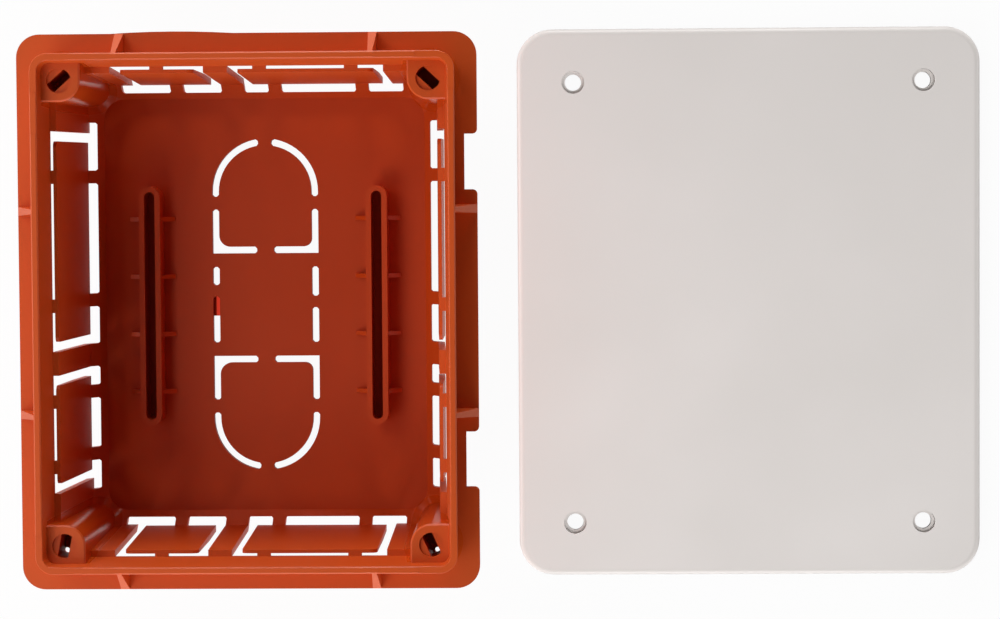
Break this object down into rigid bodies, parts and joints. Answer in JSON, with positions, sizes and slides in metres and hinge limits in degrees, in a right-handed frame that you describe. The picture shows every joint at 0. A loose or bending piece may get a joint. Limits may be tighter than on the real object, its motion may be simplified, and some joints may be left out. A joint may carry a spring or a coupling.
{
  "type": "flush junction box",
  "caption": "Rectangular flush-mounting junction box with knock-outs in its walls and floor, corner screw posts, a flange, and its flat screw-on cover.",
  "frame": {"origin": "centre of the box's back face, which lies on the ground plane; the cover lies face up beside the box at +X", "axes": "+Z out of the box's open mouth, +Y along the box's long side, +X along its short side towards the notched flange edge and the cover"},
  "size_m": [0.304, 0.178, 0.07],
  "materials": {
    "box_plastic": "satin",
    "cover_plastic": "satin"
  },
  "bodies": {
    "root": {"box_body": "box_plastic", "cover": "cover_plastic"}
  },
  "joints": []
}
